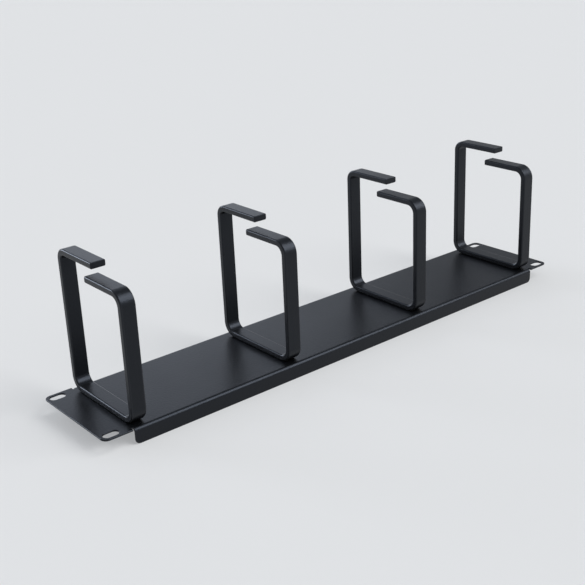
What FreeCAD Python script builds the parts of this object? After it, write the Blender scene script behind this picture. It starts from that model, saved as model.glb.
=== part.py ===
"""Horizontal cable manager for a 19 inch rack: a folded panel with a row of open rings on its face.

Millimetres. X runs along the panel, Y across its height and +Z out of its face. The part lies on
the free edges of its two flanges at z = 0, and the origin is under the middle of the panel.
"""
import FreeCAD, Part
import math
import os

Vector = FreeCAD.Vector

# Rack standard
rack_units = 2
unit_pitch = 44.45            # height of one rack unit
panel_gap = 0.8               # what a panel leaves free of its units
panel_width = 482.6
mount_inset_x = 8.75          # from the panel's end to the middle of its slots
mount_inset_y = 6.35          # from the edge of the outer unit to the middle of its outer slot

# Folded panel
sheet_thickness = 1.5
sheet_inside_bend = 1.5
flange_depth = 12.7           # from the panel's face to the flange's free edge
flange_corner_radius = 4.0
ear_width = 24.3              # from the panel's end to the flange
ear_corner_radius = 5.0
relief_width = 1.0            # slit between an ear and the end of a bend
slot_length = 12.0
slot_width = 7.0

# Rings
ring_count = 4
post_setback = 1.8            # from a flange's outside to the outside of the posts above it
back_post_height = 112.2      # from the panel's face to the top of the back arm
mouth_gap = 7.7               # between the back arm and the front arm below it
back_arm_past_middle = 6.4    # how far each arm's tip passes the middle of the ring
front_arm_past_middle = 5.0
bar_width = 12.0
bar_thickness = 5.0
bar_edge_radius = 1.2
ring_inside_bend = 6.5
hook_inside_bend = 4.0        # the tighter bend over the back post

# What follows from them
panel_height = rack_units * unit_pitch - panel_gap
face_z = flange_depth
back_z = face_z - sheet_thickness
sheet_outside_bend = sheet_inside_bend + sheet_thickness
mount_x = panel_width / 2 - mount_inset_x
mount_y = rack_units * unit_pitch / 2 - mount_inset_y
flange_length = panel_width - 2 * ear_width
ring_pitch = (flange_length - bar_width) / (ring_count - 1)
post_y = panel_height / 2 - post_setback
front_post_height = back_post_height - bar_thickness - mouth_gap

# Modelling margins
cutter_margin = 1.0           # how far a cutter runs past both faces of the sheet
same_point = 1e-6


def turn(before, corner, after, radius):
    """The arc that rounds a corner between two neighbours, or nothing where the corner is sharp."""
    if radius == 0:
        return corner, [], corner
    back = (before - corner).normalize()
    ahead = (after - corner).normalize()
    half_angle = back.getAngle(ahead) / 2
    run = radius / math.tan(half_angle)
    to_centre = (back + ahead).normalize()
    middle = corner + to_centre * (radius / math.sin(half_angle) - radius)
    start, end = corner + back * run, corner + ahead * run
    return start, [Part.Arc(start, middle, end).toShape()], end


def open_line(corners, radii):
    """A wire through corners in one plane, with a radius at each corner but the first and last."""
    edges, reached = [], corners[0]
    for before, corner, after, radius in zip(corners, corners[1:], corners[2:], radii):
        start, arc, end = turn(before, corner, after, radius)
        edges += [Part.makeLine(reached, start), *arc]
        reached = end
    return Part.Wire([*edges, Part.makeLine(reached, corners[-1])])


def outline(corners, radii):
    """A flat face inside a closed line through corners, with a radius at every corner."""
    before, after = corners[-1:] + corners[:-1], corners[1:] + corners[:1]
    turns = [turn(*three, radius) for *three, radius in zip(before, corners, after, radii)]
    edges = []
    for (_, arc, end), (next_start, _, _) in zip(turns, turns[1:] + turns[:1]):
        straight = [] if end.isEqual(next_start, same_point) else [Part.makeLine(end, next_start)]
        edges += [*arc, *straight]
    return Part.Face(Part.Wire(edges))


def ear(side):
    """The flat end of the panel past the flanges, with its two outer corners rounded."""
    inner_x = side * (flange_length / 2 + relief_width)
    outer_x = side * panel_width / 2
    half = panel_height / 2
    corners = [
        Vector(inner_x, -half, back_z),
        Vector(outer_x, -half, back_z),
        Vector(outer_x, half, back_z),
        Vector(inner_x, half, back_z),
    ]
    plate = outline(corners, [0, ear_corner_radius, ear_corner_radius, 0])
    return plate.extrude(Vector(0, 0, sheet_thickness))


def web():
    """The flat of the panel between its two bends, from ear to ear."""
    length = flange_length + 2 * relief_width
    height = panel_height - 2 * sheet_outside_bend
    return Part.makeBox(length, height, sheet_thickness, Vector(-length / 2, -height / 2, back_z))


def bend(side):
    """The quarter turn from the panel's face down into a flange."""
    axis_y = side * (panel_height / 2 - sheet_outside_bend)
    axis = Vector(-flange_length / 2, axis_y, face_z - sheet_outside_bend)
    out, up = Vector(0, side, 0), Vector(0, 0, 1)
    between = (out + up).normalize()
    outside, inside = [
        Part.Arc(axis + out * radius, axis + between * radius, axis + up * radius).toShape()
        for radius in (sheet_outside_bend, sheet_inside_bend)
    ]
    ends = [
        Part.makeLine(axis + way * sheet_inside_bend, axis + way * sheet_outside_bend) for way in (out, up)
    ]
    section = Part.Face(Part.Wire([outside, ends[1], inside, ends[0]]))
    return section.extrude(Vector(flange_length, 0, 0))


def flange(side):
    """The flat of a flange below its bend, with the two corners of its free edge rounded."""
    face_y = side * panel_height / 2
    half = flange_length / 2
    top = face_z - sheet_outside_bend
    corners = [
        Vector(-half, face_y, top),
        Vector(-half, face_y, 0),
        Vector(half, face_y, 0),
        Vector(half, face_y, top),
    ]
    radius = min(flange_corner_radius, top)
    return outline(corners, [0, radius, radius, 0]).extrude(Vector(0, -side * sheet_thickness, 0))


def mount_slot(x, y):
    """The cutter for one slot, whose long way is along the rack's width."""
    corners = [
        Vector(x + across * slot_length / 2, y + up * slot_width / 2, back_z - cutter_margin)
        for across, up in ((-1, -1), (1, -1), (1, 1), (-1, 1))
    ]
    end_radius = min(slot_length, slot_width) / 2
    return outline(corners, [end_radius] * 4).extrude(Vector(0, 0, sheet_thickness + 2 * cutter_margin))


def panel():
    """The sheet with its ears, its two bends and flanges, and a slot near each corner."""
    sheet = web().fuse([make(side) for make in (ear, bend, flange) for side in (-1, 1)])
    slots = [mount_slot(x * mount_x, y * mount_y) for x in (-1, 1) for y in (-1, 1)]
    return sheet.cut(slots).removeSplitter()


def bar_section(x, y, z):
    """The flat bar's section, square to Y, with its long edges rounded."""
    radius = min(bar_edge_radius, 0.45 * bar_thickness)
    corners = [
        Vector(x + across * bar_width / 2, y, z + up * bar_thickness / 2)
        for across, up in ((-1, -1), (1, -1), (1, 1), (-1, 1))
    ]
    return outline(corners, [radius] * 4)


def ring(x):
    """One flat bar bent into a foot, two posts and two arms whose tips pass each other."""
    half_bar = bar_thickness / 2
    side_y = post_y - half_bar
    foot_z = face_z + half_bar
    back_arm_z = face_z + back_post_height - half_bar
    front_arm_z = face_z + front_post_height - half_bar
    corners = [
        Vector(x, -back_arm_past_middle, back_arm_z),
        Vector(x, side_y, back_arm_z),
        Vector(x, side_y, foot_z),
        Vector(x, -side_y, foot_z),
        Vector(x, -side_y, front_arm_z),
        Vector(x, front_arm_past_middle, front_arm_z),
    ]
    bends = [hook_inside_bend, ring_inside_bend, ring_inside_bend, ring_inside_bend]
    middle_line = open_line(corners, [inside + half_bar for inside in bends])
    return middle_line.makePipe(bar_section(*corners[0])).removeSplitter()


def save(shape, name):
    shape.exportStep(f"parts/{name}.step")
    print(f"{name}: {len(shape.Solids)} solid, {shape.Volume:.1f} cubic mm")


os.makedirs("parts", exist_ok=True)
save(panel(), "panel")
for number in range(ring_count):
    place = (number - (ring_count - 1) / 2) * ring_pitch
    save(ring(place), f"cable_ring_{number + 1}")
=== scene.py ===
import math

import bmesh
import bpy
from mathutils import Matrix, Vector


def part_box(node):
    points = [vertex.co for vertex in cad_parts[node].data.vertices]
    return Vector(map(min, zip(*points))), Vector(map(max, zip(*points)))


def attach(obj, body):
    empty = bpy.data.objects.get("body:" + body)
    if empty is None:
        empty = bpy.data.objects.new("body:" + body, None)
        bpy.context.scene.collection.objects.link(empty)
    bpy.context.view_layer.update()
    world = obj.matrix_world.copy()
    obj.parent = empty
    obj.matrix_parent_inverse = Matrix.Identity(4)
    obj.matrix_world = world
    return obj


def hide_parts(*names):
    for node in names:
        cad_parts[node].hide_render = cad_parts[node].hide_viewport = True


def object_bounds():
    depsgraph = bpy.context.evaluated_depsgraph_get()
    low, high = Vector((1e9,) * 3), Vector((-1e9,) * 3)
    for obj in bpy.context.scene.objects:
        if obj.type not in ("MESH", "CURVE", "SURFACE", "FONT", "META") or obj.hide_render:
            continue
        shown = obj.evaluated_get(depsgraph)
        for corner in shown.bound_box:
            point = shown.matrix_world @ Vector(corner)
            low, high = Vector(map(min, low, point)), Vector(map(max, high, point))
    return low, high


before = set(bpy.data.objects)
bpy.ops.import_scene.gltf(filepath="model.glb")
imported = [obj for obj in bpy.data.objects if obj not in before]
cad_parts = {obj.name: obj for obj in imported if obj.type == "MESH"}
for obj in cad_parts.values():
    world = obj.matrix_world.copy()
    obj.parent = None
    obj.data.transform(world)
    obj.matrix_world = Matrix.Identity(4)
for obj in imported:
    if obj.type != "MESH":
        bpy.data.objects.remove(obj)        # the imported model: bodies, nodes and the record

cadLow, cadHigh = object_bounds()  # the CAD box, before anything is added
scene = bpy.context.scene
quarterTurn = math.radians(90)
sharpAngle = math.radians(35)  # an edge that turns more than this is rounded
mergeDistance = 1e-6     # metres
flatWeight = 100         # the large flat faces lead the shading as far as they can


def ofKind(items, kind):
    return [item for item in items if isinstance(item, kind)]


def near(first, second):
    return abs(first - second) < mergeDistance


def vertsAt(bm, x, y):
    return [v for v in bm.verts if near(v.co.x, x) and near(v.co.y, y)]


def liesAt(item, y):  # whether the whole edge or face is at this place across the panel
    return all(near(v.co.y, y) for v in item.verts)


def dropInner(bm, face):  # the face that a longer bar has left inside itself
    if any(len(e.link_faces) > 2 for e in face.edges):
        bmesh.ops.delete(bm, geom=[face], context="FACES_ONLY")


def pullFace(bm, face, offset):  # lengthen the bar straight on
    made = bmesh.ops.extrude_face_region(bm, geom=[face])["geom"]
    bmesh.ops.translate(bm, verts=ofKind(made, bmesh.types.BMVert), vec=offset)
    dropInner(bm, face)
    return ofKind(made, bmesh.types.BMFace)[0]


def turnFace(bm, face, centre, steps):  # bend the bar a quarter turn round a centre, about X
    made = bmesh.ops.spin(
        bm, geom=[face], cent=centre, axis=(1, 0, 0), angle=-quarterTurn, steps=steps, dvec=(0, 0, 0),
    )
    dropInner(bm, face)
    return ofKind(made["geom_last"], bmesh.types.BMFace)[0]


def roundEdges(bm, edges, radius, steps):
    made = bmesh.ops.bevel(
        bm, geom=edges, offset=radius, offset_type="OFFSET", affect="EDGES",
        segments=steps, profile=0.5, material=-1, clamp_overlap=True,
    )
    return made["faces"]


def roundCorners(bm, verts, radius, steps):
    bmesh.ops.bevel(
        bm, geom=verts, offset=radius, offset_type="OFFSET", affect="VERTICES",
        segments=steps, profile=0.5, material=-1, clamp_overlap=False,
    )


def startPiece():  # a layer that is made later would let go of the faces in hand
    bm = bmesh.new()
    bm.faces.layers.float.new("thinPaintAndHighlight")
    return bm


def markThinPaintAndHighlight(bm, faces):  # the coat draws thin on rounded edges, and the paint reads this: less roughness and bump there, and a lighter colour that is partly a painted highlight
    layer = bm.faces.layers.float["thinPaintAndHighlight"]
    for face in faces:
        face[layer] = 1.0


def finishPiece(name, bm, material, node):  # the piece stands for the CAD node
    bmesh.ops.recalc_face_normals(bm, faces=bm.faces[:])
    mesh = bpy.data.meshes.new(name)
    bm.to_mesh(mesh)
    bm.free()
    for polygon in mesh.polygons:
        polygon.use_smooth = True
    piece = bpy.data.objects.new(name, mesh)
    scene.collection.objects.link(piece)
    mesh.materials.append(material)
    flats = piece.modifiers.new("keepFlatsFlat", "WEIGHTED_NORMAL")
    flats.weight = flatWeight
    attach(piece, "root")
    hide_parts(node)


paintLook = {
    "specular": 0.295,
    "glossTint": (0.77, 0.85, 1.0, 1),
    "coat": {                # what the powder coat group takes, with sizes in metres
        "Colour": (0.0032, 0.0034, 0.0038, 1),
        "Roughness": 0.345,
        # over the rounded edges, where the coat is thin, and lighter partly as a painted highlight
        "Thin Coat And Highlight Colour": (0.0105, 0.0108, 0.0114, 1),
        "Thin Cover": 0.85,      # how much of the thin look and its painted highlight shows there
        "Thin Break": 0.6,       # how much the grain breaks it up
        "Thin Gloss": 0.07,      # roughness taken off
        "Thin Smoothing": 0.7,   # share of the bumps taken off
        # orange peel with a fine grain on it
        "Peel Size": 0.0016,
        "Peel Height": 0.000075,
        "Grain Size": 0.00035,
        "Grain Height": 0.000014,
        "Grain Gloss": 0.06,     # change of roughness
        # slow clouds over the panel
        "Cloud Size": 0.045,
        "Cloud Shade": 0.24,     # change of brightness
        "Cloud Gloss": 0.10,     # change of roughness
    },
}


def addNode(tree, kind, **values):
    node = tree.nodes.new(kind)
    for name, value in values.items():
        setattr(node, name, value)
    return node


def powderCoatGroup():
    group = bpy.data.node_groups.new("powderCoat", "ShaderNodeTree")

    def addSockets(side, kind, names):
        for name in names:
            group.interface.new_socket(name=name, in_out=side, socket_type=kind)

    addSockets("INPUT", "NodeSocketVector", ["Coordinates"])
    addSockets("INPUT", "NodeSocketColor", ["Colour", "Thin Coat And Highlight Colour"])
    addSockets("INPUT", "NodeSocketFloat", [
        "Roughness", "Thin", "Thin Cover", "Thin Break", "Thin Gloss", "Thin Smoothing",
        "Peel Size", "Peel Height", "Grain Size", "Grain Height", "Grain Gloss",
        "Cloud Size", "Cloud Shade", "Cloud Gloss",
    ])
    addSockets("OUTPUT", "NodeSocketColor", ["Colour"])
    addSockets("OUTPUT", "NodeSocketFloat", ["Roughness", "Height"])
    given = addNode(group, "NodeGroupInput").outputs
    wanted = addNode(group, "NodeGroupOutput").inputs
    link = group.links.new

    def maths(operation, first, second):
        node = addNode(group, "ShaderNodeMath", operation=operation)
        for socket, value in zip(node.inputs, (first, second)):
            if isinstance(value, float):
                socket.default_value = value
            else:
                link(value, socket)
        return node.outputs[0]

    def noise(size, detail):
        node = addNode(group, "ShaderNodeTexNoise")
        node.inputs["Detail"].default_value = detail
        link(given["Coordinates"], node.inputs["Vector"])
        link(maths("DIVIDE", 1.0, given[size]), node.inputs["Scale"])
        return node.outputs["Fac"]

    def swing(pattern, amount):  # a noise runs from 0 to 1, and its middle changes nothing
        return maths("MULTIPLY", maths("SUBTRACT", pattern, 0.5), given[amount])

    peel = noise("Peel Size", detail=1.0)
    grain = noise("Grain Size", detail=2.0)
    cloud = noise("Cloud Size", detail=3.0)

    # height of the orange peel and the grain, less of both where the coat is thin
    humps = maths("MULTIPLY", peel, given["Peel Height"])
    specks = maths("MULTIPLY", grain, given["Grain Height"])
    kept = maths("SUBTRACT", 1.0, maths("MULTIPLY", given["Thin"], given["Thin Smoothing"]))
    link(maths("MULTIPLY", maths("ADD", humps, specks), kept), wanted["Height"])

    # thin paint is lighter, partly as a painted highlight on the rounded edges, and the clouds change the
    # tone at random
    broken = maths("MULTIPLY", given["Thin"], maths("ADD", given["Thin Cover"], swing(grain, "Thin Break")))
    thinAndHighlightMix = addNode(group, "ShaderNodeMix", data_type="RGBA")
    link(broken, thinAndHighlightMix.inputs["Factor"])
    link(given["Colour"], thinAndHighlightMix.inputs["A"])
    link(given["Thin Coat And Highlight Colour"], thinAndHighlightMix.inputs["B"])
    shade = addNode(group, "ShaderNodeHueSaturation")
    link(maths("ADD", 1.0, swing(cloud, "Cloud Shade")), shade.inputs["Value"])
    link(thinAndHighlightMix.outputs["Result"], shade.inputs["Color"])
    link(shade.outputs["Color"], wanted["Colour"])

    # clouds and grain change the roughness, and thin paint has less of it
    clouded = maths("ADD", given["Roughness"], swing(cloud, "Cloud Gloss"))
    speckled = maths("ADD", clouded, swing(grain, "Grain Gloss"))
    link(maths("SUBTRACT", speckled, maths("MULTIPLY", broken, given["Thin Gloss"])), wanted["Roughness"])
    return group


def powderCoatMaterial(group):
    material = bpy.data.materials.new("blackPowderCoat")
    material.use_nodes = True
    tree = material.node_tree
    shader = tree.nodes["Principled BSDF"]
    shader.inputs["Specular IOR Level"].default_value = paintLook["specular"]
    shader.inputs["Specular Tint"].default_value = paintLook["glossTint"]
    place = addNode(tree, "ShaderNodeTexCoord")
    # the rounded edges, where the coat is thin and its lighter colour is partly a painted highlight
    thin = addNode(tree, "ShaderNodeAttribute", attribute_name="thinPaintAndHighlight")
    coat = addNode(tree, "ShaderNodeGroup", node_tree=group)
    for name, value in paintLook["coat"].items():
        coat.inputs[name].default_value = value
    bump = addNode(tree, "ShaderNodeBump")
    bump.inputs["Distance"].default_value = 1.0  # the heights are metres already
    link = tree.links.new
    link(place.outputs["Object"], coat.inputs["Coordinates"])
    link(thin.outputs["Fac"], coat.inputs["Thin"])
    link(coat.outputs["Colour"], shader.inputs["Base Color"])
    link(coat.outputs["Roughness"], shader.inputs["Roughness"])
    link(coat.outputs["Height"], bump.inputs["Height"])
    link(bump.outputs["Normal"], shader.inputs["Normal"])
    return material


blackCoat = powderCoatMaterial(powderCoatGroup())
print("paint ready")


panelForm = {  # metres
    "sheet": 0.0015,
    "outsideBend": 0.003,
    "bendSteps": 10,
    "earWidth": 0.0243,
    "earCorner": 0.005,
    "flangeCorner": 0.004,
    "relief": 0.001,         # slit between an ear and the end of a bend
    "slotInset": (0.00875, 0.00595),  # from the ear's corner to the slot's middle
    "slotSize": (0.012, 0.007),
    "cornerSteps": 10,
    "edgeRadius": 0.0006,
    "edgeSteps": 4,
}


def buildPanel():
    form = panelForm
    low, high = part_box("panel")
    face = high.z
    bendY = high.y - form["outsideBend"]
    flangeX = high.x - form["earWidth"]
    reliefX = flangeX + form["relief"]
    bm = startPiece()

    # one quarter of the flat, seen from above, in two halves that meet along the slot's middle
    slotX, slotY = high.x - form["slotInset"][0], high.y - form["slotInset"][1]
    long, wide = form["slotSize"]
    slotLeft, slotRight = slotX - long / 2, slotX + long / 2
    slotBack, slotFront = slotY + wide / 2, slotY - wide / 2
    backHalf = [
        (0, slotY), (slotLeft, slotY), (slotLeft, slotBack), (slotRight, slotBack), (slotRight, slotY),
        (high.x, slotY), (high.x, high.y), (reliefX, high.y), (reliefX, bendY), (flangeX, bendY), (0, bendY),
    ]
    frontHalf = [
        (0, 0), (high.x, 0), (high.x, slotY), (slotRight, slotY), (slotRight, slotFront),
        (slotLeft, slotFront), (slotLeft, slotY), (0, slotY),
    ]
    for half in (backHalf, frontHalf):
        bm.faces.new([bm.verts.new((x, y, face)) for x, y in half])
    roundCorners(bm, vertsAt(bm, high.x, high.y), form["earCorner"], form["cornerSteps"])
    for x in (slotLeft, slotRight):
        for y in (slotBack, slotFront):
            roundCorners(bm, vertsAt(bm, x, y), wide / 2, form["cornerSteps"])
    bmesh.ops.remove_doubles(bm, verts=bm.verts[:], dist=mergeDistance)

    # bend and flange, turned down from the flat's edge
    lip = [e for e in bm.edges if liesAt(e, bendY) and all(v.co.x < flangeX + mergeDistance for v in e.verts)]
    turned = bmesh.ops.spin(
        bm, geom=lip, cent=(0, bendY, face - form["outsideBend"]), axis=(1, 0, 0), angle=-quarterTurn,
        steps=form["bendSteps"], dvec=(0, 0, 0),
    )
    made = bmesh.ops.extrude_edge_only(bm, edges=ofKind(turned["geom_last"], bmesh.types.BMEdge))
    bottom = ofKind(made["geom"], bmesh.types.BMVert)
    bmesh.ops.translate(bm, verts=bottom, vec=(0, 0, low.z + form["outsideBend"] - face))
    corner = [v for v in bottom if near(v.co.x, flangeX)]
    roundCorners(bm, corner, form["flangeCorner"], form["cornerSteps"])

    # the other three quarters
    for axis in ("X", "Y"):
        soFar = bm.verts[:] + bm.edges[:] + bm.faces[:]
        bmesh.ops.mirror(bm, geom=soFar, axis=axis, merge_dist=mergeDistance)

    # the skin has to look outwards, so that the sheet's thickness goes inwards
    bmesh.ops.recalc_face_normals(bm, faces=bm.faces[:])
    top = max(bm.faces, key=lambda f: f.calc_center_median().z)
    if top.normal.z < 0:
        bmesh.ops.reverse_faces(bm, faces=bm.faces[:])
    bmesh.ops.solidify(bm, geom=bm.faces[:], thickness=form["sheet"])
    sharp = [e for e in bm.edges if e.is_convex and e.calc_face_angle() > sharpAngle]
    # rounded edges get the thin coat, whose lighter colour is partly a painted highlight
    markThinPaintAndHighlight(bm, roundEdges(bm, sharp, form["edgeRadius"], form["edgeSteps"]))
    finishPiece("foldedPanel", bm, blackCoat, "panel")


buildPanel()
print("panel folded")


ringForm = {  # metres
    "count": 4,
    "thickness": 0.005,
    "bend": 0.0065,          # inside radius at the foot and the front arm
    "hook": 0.004,           # inside radius of the tighter bend over the back post
    "bendSteps": 16,
    "frontDrop": 0.0127,     # the front arm is lower than the back arm by this
    "backTip": -0.0064,      # where each arm ends, across the panel
    "frontTip": 0.005,
    "edgeRadius": 0.0012,
    "edgeSteps": 6,
    "tipRadius": 0.0005,
    "tipSteps": 3,
}


def buildRing(number):
    form = ringForm
    node = f"cable_ring_{number}"
    low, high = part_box(node)
    thick, bend, hook, steps = form["thickness"], form["bend"], form["hook"], form["bendSteps"]
    bm = startPiece()

    # square-cut end of the bar at the back arm's tip, from a grid one metre wide
    middle = Vector(((low.x + high.x) / 2, form["backTip"], high.z - thick / 2))
    place = Matrix.Translation(middle) @ Matrix.Rotation(quarterTurn, 4, "X")
    place = place @ Matrix.Diagonal((high.x - low.x, thick, 1, 1))
    bmesh.ops.create_grid(bm, x_segments=1, y_segments=1, size=0.5, matrix=place)
    bar = bm.faces[:][0]

    # back arm, hook, back post, foot, front post and front arm
    hookY, hookZ = high.y - thick - hook, high.z - thick - hook
    backY, frontY = high.y - thick - bend, low.y + thick + bend
    footZ, frontZ = low.z + thick + bend, high.z - form["frontDrop"] - thick - bend
    bar = pullFace(bm, bar, (0, hookY - form["backTip"], 0))
    bar = turnFace(bm, bar, (0, hookY, hookZ), steps)
    bar = pullFace(bm, bar, (0, 0, footZ - hookZ))
    bar = turnFace(bm, bar, (0, backY, footZ), steps)
    bar = pullFace(bm, bar, (0, frontY - backY, 0))
    bar = turnFace(bm, bar, (0, frontY, footZ), steps)
    bar = pullFace(bm, bar, (0, 0, frontZ - footZ))
    bar = turnFace(bm, bar, (0, frontY, frontZ), steps)
    pullFace(bm, bar, (0, form["frontTip"] - frontY, 0))

    def tipEdges():
        tips = [f for f in bm.faces if liesAt(f, form["backTip"]) or liesAt(f, form["frontTip"])]
        return [e for f in tips for e in f.edges]

    atTips = tipEdges()
    along = [e for e in bm.edges if e not in atTips and e.calc_face_angle() > sharpAngle]
    # rounded edges and tips get the thin coat, whose lighter colour is partly a painted highlight
    markThinPaintAndHighlight(bm, roundEdges(bm, along, form["edgeRadius"], form["edgeSteps"]))
    markThinPaintAndHighlight(bm, roundEdges(bm, tipEdges(), form["tipRadius"], form["tipSteps"]))
    finishPiece(f"cableRing{number}", bm, blackCoat, node)


for number in range(1, ringForm["count"] + 1):
    buildRing(number)
print("rings bent")


studioLook = {
    "floorColour": (0.772, 0.753, 0.718, 1),
    "floorGlow": 0.45,       # how much of the shadows' depth is taken off, from 0 to 1
    "floorSize": 60.0,       # metres
    "wallColour": (0.737, 0.752, 0.768, 1),
    "wallTop": 7.0,          # degrees over the floor, where the walls start to fade into the sky
    "skyStart": 16.0,
    "skyColour": (0.315, 0.340, 0.385, 1),
}

dayLight = (0.975, 1.0, 1.04)
skyLight = (0.925, 1.0, 1.14)
softboxes = {  # in degrees: azimuth clockwise from +Y seen from above, height over the floor, and spread
    "keySoftbox": {"azimuth": 141.0, "height": 42.6, "spread": 44.0, "power": 2.44, "colour": dayLight},
    "sideSoftbox": {"azimuth": -28.0, "height": 10.0, "spread": 27.0, "power": 1.4, "colour": skyLight},
    "topSoftbox": {"azimuth": 8.0, "height": 39.0, "spread": 58.0, "power": 0.26, "colour": skyLight},
    "backSoftbox": {"azimuth": 28.0, "height": 14.5, "spread": 31.0, "power": 0.14, "colour": skyLight},
}


def direction(azimuth, height):
    turned, raised = math.radians(azimuth), math.radians(height)
    level = math.cos(raised)
    return Vector((math.sin(turned) * level, math.cos(turned) * level, math.sin(raised)))


def addSoftbox(name, look):  # far away, so it lights the whole object evenly
    light = bpy.data.lights.new(name, "SUN")
    light.energy = look["power"]
    light.angle = math.radians(look["spread"])
    light.color = look["colour"]
    lamp = bpy.data.objects.new(name, light)
    lamp.rotation_mode = "QUATERNION"
    lamp.rotation_quaternion = direction(look["azimuth"], look["height"]).to_track_quat("Z", "Y")
    scene.collection.objects.link(lamp)


def floorMaterial():
    material = bpy.data.materials.new("paleFloor")
    material.use_nodes = True
    tree = material.node_tree
    shader = tree.nodes["Principled BSDF"]
    shader.inputs["Base Color"].default_value = studioLook["floorColour"]
    shader.inputs["Roughness"].default_value = 1.0
    shader.inputs["Specular IOR Level"].default_value = 0.0
    link = tree.links.new

    # what looks at the floor, straight or in a reflection, sees its shadows softened
    rays = addNode(tree, "ShaderNodeLightPath")
    glow = addNode(tree, "ShaderNodeEmission")
    glow.inputs["Color"].default_value = studioLook["wallColour"]
    seen = rays.outputs["Is Camera Ray"]
    for name in ("Is Glossy Ray", "Is Transmission Ray"):
        either = addNode(tree, "ShaderNodeMath", operation="MAXIMUM")
        link(seen, either.inputs[0])
        link(rays.outputs[name], either.inputs[1])
        seen = either.outputs[0]
    share = addNode(tree, "ShaderNodeMath", operation="MULTIPLY")
    share.inputs[1].default_value = studioLook["floorGlow"]
    link(seen, share.inputs[0])
    softened = addNode(tree, "ShaderNodeMixShader")
    link(share.outputs[0], softened.inputs["Fac"])
    link(shader.outputs["BSDF"], softened.inputs[1])
    link(glow.outputs["Emission"], softened.inputs[2])

    # clear from below, to look at the underside
    side = addNode(tree, "ShaderNodeNewGeometry")
    clear = addNode(tree, "ShaderNodeBsdfTransparent")
    seeThrough = addNode(tree, "ShaderNodeMixShader")
    link(side.outputs["Backfacing"], seeThrough.inputs["Fac"])
    link(softened.outputs["Shader"], seeThrough.inputs[1])
    link(clear.outputs["BSDF"], seeThrough.inputs[2])
    link(seeThrough.outputs["Shader"], tree.nodes["Material Output"].inputs["Surface"])
    return material


def buildFloor():
    bm = bmesh.new()
    bmesh.ops.create_grid(bm, x_segments=1, y_segments=1, size=studioLook["floorSize"] / 2)
    bmesh.ops.translate(bm, verts=bm.verts[:], vec=(0, 0, cadLow.z))
    mesh = bpy.data.meshes.new("studioFloor")
    bm.to_mesh(mesh)
    bm.free()
    mesh.materials.append(floorMaterial())
    floor = bpy.data.objects.new("studioFloor", mesh)
    scene.collection.objects.link(floor)


def buildWalls():  # pale round the horizon, as the floor is, and dimmer overhead
    world = bpy.data.worlds.new("studioWalls")
    world.use_nodes = True
    tree = world.node_tree
    place = addNode(tree, "ShaderNodeTexCoord")
    split = addNode(tree, "ShaderNodeSeparateXYZ")
    rise = addNode(tree, "ShaderNodeMapRange", interpolation_type="SMOOTHSTEP")
    rise.inputs["From Min"].default_value = math.sin(math.radians(studioLook["wallTop"]))
    rise.inputs["From Max"].default_value = math.sin(math.radians(studioLook["skyStart"]))
    blend = addNode(tree, "ShaderNodeMix", data_type="RGBA")
    blend.inputs["A"].default_value = studioLook["wallColour"]
    blend.inputs["B"].default_value = studioLook["skyColour"]
    link = tree.links.new
    link(place.outputs["Generated"], split.inputs["Vector"])
    link(split.outputs["Z"], rise.inputs["Value"])
    link(rise.outputs["Result"], blend.inputs["Factor"])
    link(blend.outputs["Result"], tree.nodes["Background"].inputs["Color"])
    scene.world = world


buildFloor()
buildWalls()
for name, look in softboxes.items():
    addSoftbox(name, look)
print("studio lit")


cameraLook = {
    "lens": 62.92,           # millimetres, like the sensor
    "sensor": 36.0,
    "shift": (-0.0128, -0.0385),
    "place": (-0.5218, -0.5991, 0.3577),
    "target": (-0.0154, 0.0150, 0.0595),
    "roll": 2.31,            # degrees
}


def buildCamera():
    look = cameraLook
    lens = bpy.data.cameras.new("studioCamera")
    lens.lens = look["lens"]
    lens.sensor_width = look["sensor"]
    lens.shift_x, lens.shift_y = look["shift"]
    camera = bpy.data.objects.new("studioCamera", lens)
    aim = Vector(look["target"]) - Vector(look["place"])
    turn = aim.to_track_quat("-Z", "Y").to_matrix() @ Matrix.Rotation(-math.radians(look["roll"]), 3, "Z")
    camera.matrix_world = Matrix.Translation(look["place"]) @ turn.to_4x4()
    scene.collection.objects.link(camera)
    scene.camera = camera


buildCamera()
scene.view_settings.view_transform = "Standard"
print("camera placed")
